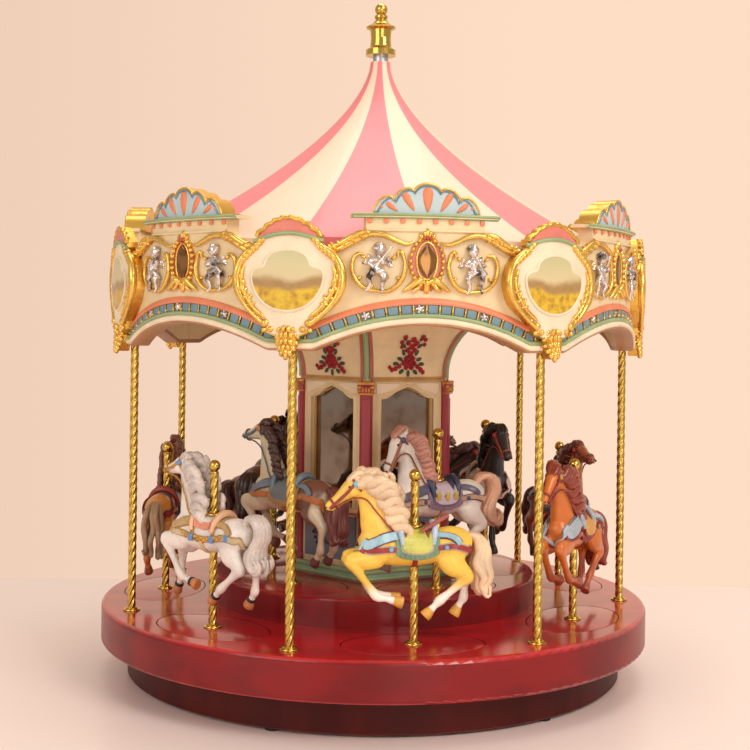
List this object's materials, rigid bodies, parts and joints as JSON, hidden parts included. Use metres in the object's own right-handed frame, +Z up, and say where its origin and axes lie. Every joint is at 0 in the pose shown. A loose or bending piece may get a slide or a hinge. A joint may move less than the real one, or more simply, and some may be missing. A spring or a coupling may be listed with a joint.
{
  "type": "wind-up music box",
  "caption": "Wind-up carousel music box: a turntable with canopy, mirrored column and lift-out horses turned by a spring movement in its foot.",
  "frame": {"origin": "centre of the foot on the table", "axes": "+Z up along the turntable axis, -Y the front, where the middle of one canopy panel faces"},
  "size_m": [0.43, 0.43, 0.5324],
  "materials": {
    "foot_wood": "dark brown stained wood, satin lacquer",
    "cover_board": "bare hardboard",
    "black_rubber": "matt",
    "zinc_steel": "zinc plated",
    "comb_steel": "tempered and ground",
    "spring_steel": "blued",
    "movement_brass": "turned",
    "polished_brass": "polished",
    "white_nylon": "moulded",
    "cherry_lacquer": "high gloss cherry lacquer",
    "stand_cherry": "high gloss cherry lacquer, with a polished brass pole",
    "painted_porcelain": "hand painted bisque, satin",
    "cream_paint": "hand painted casting resin",
    "maroon_paint": "hand painted casting resin",
    "sage_paint": "hand painted casting resin",
    "pale_blue_paint": "hand painted casting resin",
    "gold_paint": "gilt casting resin",
    "pink_paint": "pink and cream striped paint",
    "mirror_glass": "silvered glass"
  },
  "bodies": {
    "base": {"plinth": "foot_wood", "bottom_cover": "cover_board", "rubber_feet": "black_rubber", "cover_screws": "zinc_steel", "lower_race": "zinc_steel", "bedplate": "movement_brass", "movement_brackets": "zinc_steel", "governor_block": "zinc_steel", "comb": "comb_steel", "movement_screws": "zinc_steel"},
    "ball_cage": {"bearing_cage": "zinc_steel"},
    "key": {"winding_arbor": "zinc_steel", "winding_key": "polished_brass"},
    "cylinder": {"pin_cylinder": "movement_brass"},
    "idler": {"governor_idler": "movement_brass"},
    "fan": {"governor_fan": "white_nylon"},
    "turntable": {"deck": "cherry_lacquer", "platform": "cherry_lacquer", "upper_race": "zinc_steel", "drive_shaft": "zinc_steel", "spring_barrel": "movement_brass", "crown_wheel": "movement_brass", "mainspring": "spring_steel", "column_frames": "cream_paint", "column_mirrors": "mirror_glass", "column_pillars": "maroon_paint", "column_base": "sage_paint", "cove_panels": "cream_paint", "ceiling": "cream_paint", "canopy_poles": "polished_brass", "rounding_boards": "cream_paint", "fan_crests": "pale_blue_paint", "medallions": "gold_paint", "roof_shell": "pink_paint", "finial": "polished_brass", "tie_rod": "zinc_steel"},
    "outer_figure_1": {"outer_stand_1": "stand_cherry", "outer_horse_1": "painted_porcelain"},
    "outer_figure_2": {"outer_stand_2": "stand_cherry", "outer_horse_2": "painted_porcelain"},
    "outer_figure_3": {"outer_stand_3": "stand_cherry", "outer_horse_3": "painted_porcelain"},
    "outer_figure_4": {"outer_stand_4": "stand_cherry", "outer_horse_4": "painted_porcelain"},
    "outer_figure_5": {"outer_stand_5": "stand_cherry", "outer_horse_5": "painted_porcelain"},
    "outer_figure_6": {"outer_stand_6": "stand_cherry", "outer_horse_6": "painted_porcelain"},
    "outer_figure_7": {"outer_stand_7": "stand_cherry", "outer_horse_7": "painted_porcelain"},
    "inner_figure_1": {"inner_stand_1": "stand_cherry", "inner_horse_1": "painted_porcelain"},
    "inner_figure_2": {"inner_stand_2": "stand_cherry", "inner_horse_2": "painted_porcelain"},
    "inner_figure_3": {"inner_stand_3": "stand_cherry", "inner_horse_3": "painted_porcelain"},
    "inner_figure_4": {"inner_stand_4": "stand_cherry", "inner_horse_4": "painted_porcelain"},
    "inner_figure_5": {"inner_stand_5": "stand_cherry", "inner_horse_5": "painted_porcelain"}
  },
  "joints": [
    {"name": "turntable_spin", "type": "hinge", "parent": "base", "child": "turntable", "pos_m": [0, 0, 0.027], "axis": [0, 0, 1], "continuous": true},
    {"name": "cage_roll", "type": "hinge", "parent": "base", "child": "ball_cage", "pos_m": [0, 0, 0.027], "axis": [0, 0, 1], "continuous": true},
    {"name": "key_turn", "type": "hinge", "parent": "base", "child": "key", "pos_m": [0, 0, 0.0126], "axis": [0, 0, 1], "range_deg": [0, 1440]},
    {"name": "cylinder_spin", "type": "hinge", "parent": "base", "child": "cylinder", "pos_m": [0, 0, 0.0369], "axis": [1, 0, 0], "continuous": true},
    {"name": "idler_spin", "type": "hinge", "parent": "base", "child": "idler", "pos_m": [0, 0.01125, 0.0369], "axis": [1, 0, 0], "continuous": true},
    {"name": "fan_spin", "type": "hinge", "parent": "base", "child": "fan", "pos_m": [0.0473, 0.01895, 0.0369], "axis": [0, 0, 1], "continuous": true},
    {"name": "outer_figure_1_lift", "type": "slide", "parent": "turntable", "child": "outer_figure_1", "axis": [0, 0, 1], "range_m": [0, 0.03]},
    {"name": "outer_figure_2_lift", "type": "slide", "parent": "turntable", "child": "outer_figure_2", "axis": [0, 0, 1], "range_m": [0, 0.03]},
    {"name": "outer_figure_3_lift", "type": "slide", "parent": "turntable", "child": "outer_figure_3", "axis": [0, 0, 1], "range_m": [0, 0.03]},
    {"name": "outer_figure_4_lift", "type": "slide", "parent": "turntable", "child": "outer_figure_4", "axis": [0, 0, 1], "range_m": [0, 0.03]},
    {"name": "outer_figure_5_lift", "type": "slide", "parent": "turntable", "child": "outer_figure_5", "axis": [0, 0, 1], "range_m": [0, 0.03]},
    {"name": "outer_figure_6_lift", "type": "slide", "parent": "turntable", "child": "outer_figure_6", "axis": [0, 0, 1], "range_m": [0, 0.03]},
    {"name": "outer_figure_7_lift", "type": "slide", "parent": "turntable", "child": "outer_figure_7", "axis": [0, 0, 1], "range_m": [0, 0.03]},
    {"name": "inner_figure_1_lift", "type": "slide", "parent": "turntable", "child": "inner_figure_1", "axis": [0, 0, 1], "range_m": [0, 0.03]},
    {"name": "inner_figure_2_lift", "type": "slide", "parent": "turntable", "child": "inner_figure_2", "axis": [0, 0, 1], "range_m": [0, 0.03]},
    {"name": "inner_figure_3_lift", "type": "slide", "parent": "turntable", "child": "inner_figure_3", "axis": [0, 0, 1], "range_m": [0, 0.03]},
    {"name": "inner_figure_4_lift", "type": "slide", "parent": "turntable", "child": "inner_figure_4", "axis": [0, 0, 1], "range_m": [0, 0.03]},
    {"name": "inner_figure_5_lift", "type": "slide", "parent": "turntable", "child": "inner_figure_5", "axis": [0, 0, 1], "range_m": [0, 0.03]}
  ],
  "couplings": [
    {"joint": "cage_roll", "follows": "turntable_spin", "ratio": 0.5},
    {"joint": "cylinder_spin", "follows": "turntable_spin", "ratio": 2},
    {"joint": "idler_spin", "follows": "turntable_spin", "ratio": -8},
    {"joint": "fan_spin", "follows": "turntable_spin", "ratio": 192}
  ]
}
